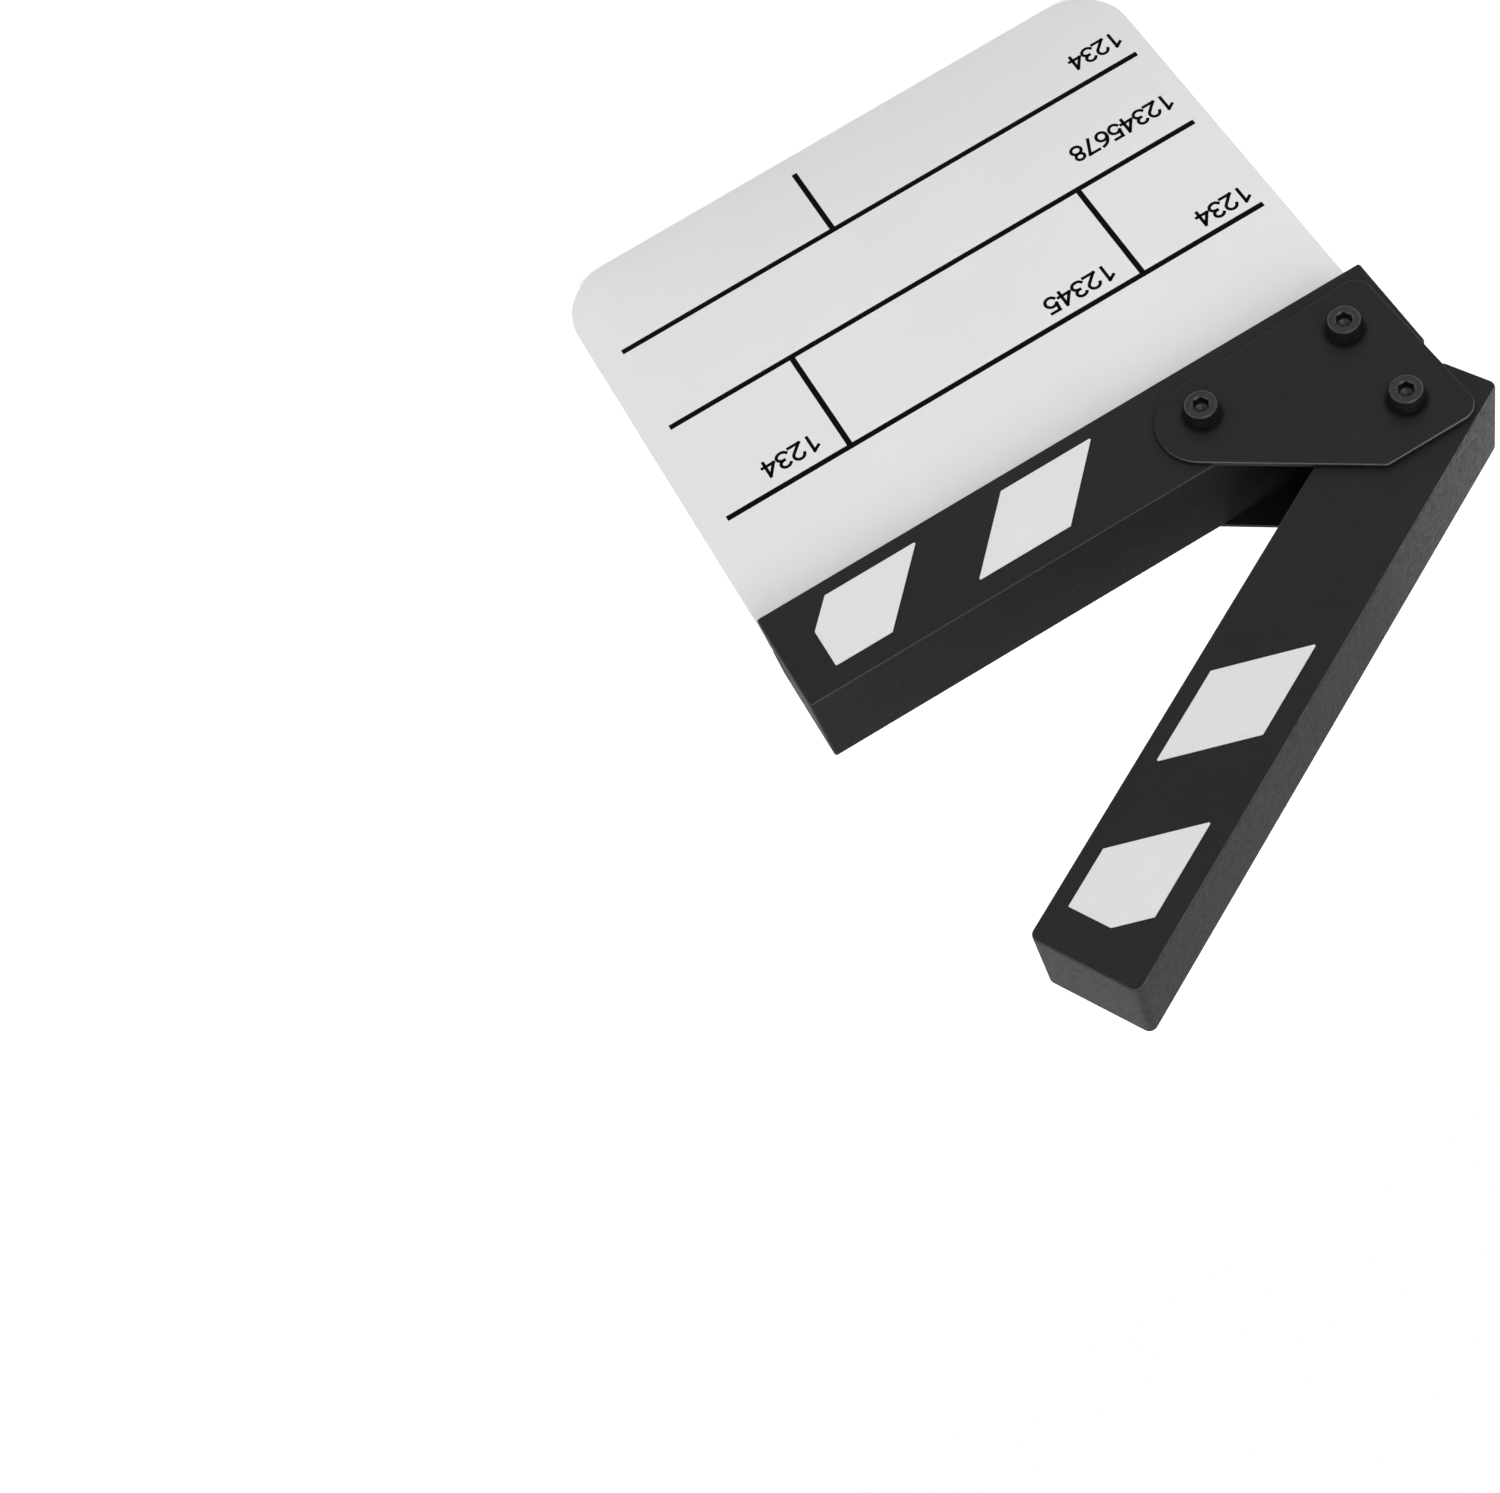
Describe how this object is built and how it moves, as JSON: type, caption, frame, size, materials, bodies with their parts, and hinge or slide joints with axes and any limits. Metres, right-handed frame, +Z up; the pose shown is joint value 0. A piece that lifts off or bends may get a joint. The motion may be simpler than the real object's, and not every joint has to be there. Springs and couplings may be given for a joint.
{
  "type": "clapperboard",
  "caption": "Film clapperboard: white writing board in the slot of a black stick, with a striped clap stick that swings on a screwed plate hinge.",
  "frame": {"origin": "middle of the board's flat bottom edge, halfway through its thickness", "axes": "+X to the free end of the sticks, -Y is the front, +Z up from the board to the sticks"},
  "size_m": [0.1885, 0.0458, 0.2748],
  "materials": {
    "board_acrylic": "white, lightly glossy acrylic",
    "stick_paint": "wood painted matte black",
    "plate_paint": "smooth satin black steel",
    "screw_black": "black oxide steel",
    "nut_chrome": "bright chrome plate",
    "bush_brass": "turned brass",
    "washer_nylon": "natural nylon",
    "sticker_vinyl": "white vinyl film"
  },
  "bodies": {
    "slate": {"slate_board": "board_acrylic", "fixed_stick": "stick_paint", "front_hinge_plate": "plate_paint", "rear_hinge_plate": "plate_paint", "pivot_screw": "screw_black", "outer_screw": "screw_black", "inner_screw": "screw_black", "pivot_cap_nut": "nut_chrome", "outer_cap_nut": "nut_chrome", "inner_cap_nut": "nut_chrome", "pivot_bush": "bush_brass", "front_friction_washer": "washer_nylon", "rear_friction_washer": "washer_nylon", "fixed_front_tip_sticker": "sticker_vinyl", "fixed_front_middle_sticker": "sticker_vinyl", "fixed_rear_tip_sticker": "sticker_vinyl", "fixed_rear_middle_sticker": "sticker_vinyl"},
    "clap": {"clap_stick": "stick_paint", "clap_front_tip_sticker": "sticker_vinyl", "clap_front_middle_sticker": "sticker_vinyl", "clap_rear_tip_sticker": "sticker_vinyl", "clap_rear_middle_sticker": "sticker_vinyl"}
  },
  "joints": [
    {"name": "clap_hinge", "type": "hinge", "parent": "slate", "child": "clap", "pos_m": [-0.0768, 0, 0.179], "axis": [0, -1, 0], "range_deg": [-28.8, 32.7]}
  ]
}
